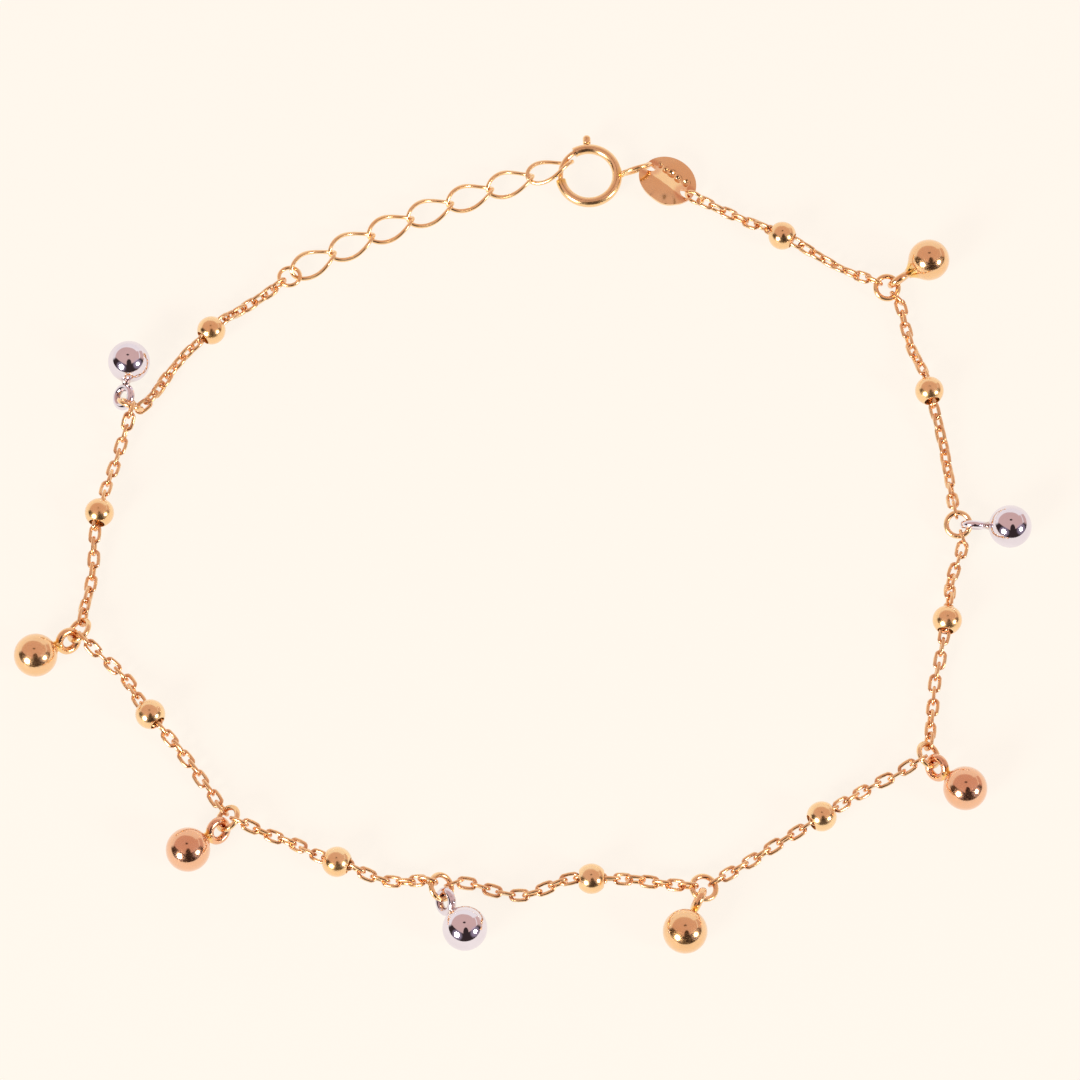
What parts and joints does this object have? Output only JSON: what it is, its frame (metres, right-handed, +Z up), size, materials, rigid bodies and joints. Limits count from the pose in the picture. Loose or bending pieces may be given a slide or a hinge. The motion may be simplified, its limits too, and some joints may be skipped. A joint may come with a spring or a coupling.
{
  "type": "cable chain charm bracelet with ball drops",
  "caption": "Fine gold bracelet: cable chain with drilled beads, ball drops on jump rings, curb extender, spring-ring clasp and oval tag.",
  "frame": {"origin": "on the surface it lies on, below the middle of the bracelet's bounding box", "axes": "+Z up from the surface, +Y towards the clasp, +X along the wider way across the loop, with the tag on the +X side of the clasp"},
  "size_m": [0.0706, 0.0634, 0.003],
  "materials": {
    "chain_gold": "polished warm gold between yellow and rose",
    "yellow_gold": "mirror polished yellow gold",
    "rose_gold": "mirror polished rose gold",
    "white_gold": "mirror polished white gold with a faint mauve cast"
  },
  "bodies": {
    "bracelet": {"ball_drop_1": "yellow_gold", "ball_drop_2": "white_gold", "ball_drop_3": "rose_gold", "ball_drop_4": "yellow_gold", "ball_drop_5": "white_gold", "ball_drop_6": "rose_gold", "ball_drop_7": "yellow_gold", "ball_drop_8": "white_gold", "jump_ring_1": "chain_gold", "jump_ring_2": "chain_gold", "jump_ring_3": "chain_gold", "jump_ring_4": "chain_gold", "jump_ring_5": "chain_gold", "jump_ring_6": "chain_gold", "jump_ring_7": "chain_gold", "jump_ring_8": "chain_gold", "chain_1": "chain_gold", "chain_2": "chain_gold", "chain_3": "chain_gold", "chain_4": "chain_gold", "chain_5": "chain_gold", "chain_6": "chain_gold", "chain_7": "chain_gold", "chain_8": "chain_gold", "chain_9": "chain_gold", "bead_1": "chain_gold", "bead_2": "chain_gold", "bead_3": "chain_gold", "bead_4": "chain_gold", "bead_5": "chain_gold", "bead_6": "chain_gold", "bead_7": "chain_gold", "bead_8": "chain_gold", "bead_9": "chain_gold", "extender_link_1": "chain_gold", "extender_link_2": "chain_gold", "extender_link_3": "chain_gold", "extender_link_4": "chain_gold", "extender_link_5": "chain_gold", "extender_link_6": "chain_gold", "extender_link_7": "chain_gold", "extender_ring": "chain_gold", "spring_ring": "chain_gold", "tag_plate": "chain_gold", "tag_ring": "chain_gold"},
    "bolt": {"clasp_bolt": "chain_gold"}
  },
  "joints": [
    {"name": "bolt_pull", "type": "hinge", "parent": "bracelet", "child": "bolt", "pos_m": [0.0045, 0.02849, 0.00084], "axis": [0, 0.1736, -0.9848], "range_deg": [0, 72], "stiffness_Nm_per_rad": 0.0002, "springref_deg": -17.19}
  ]
}
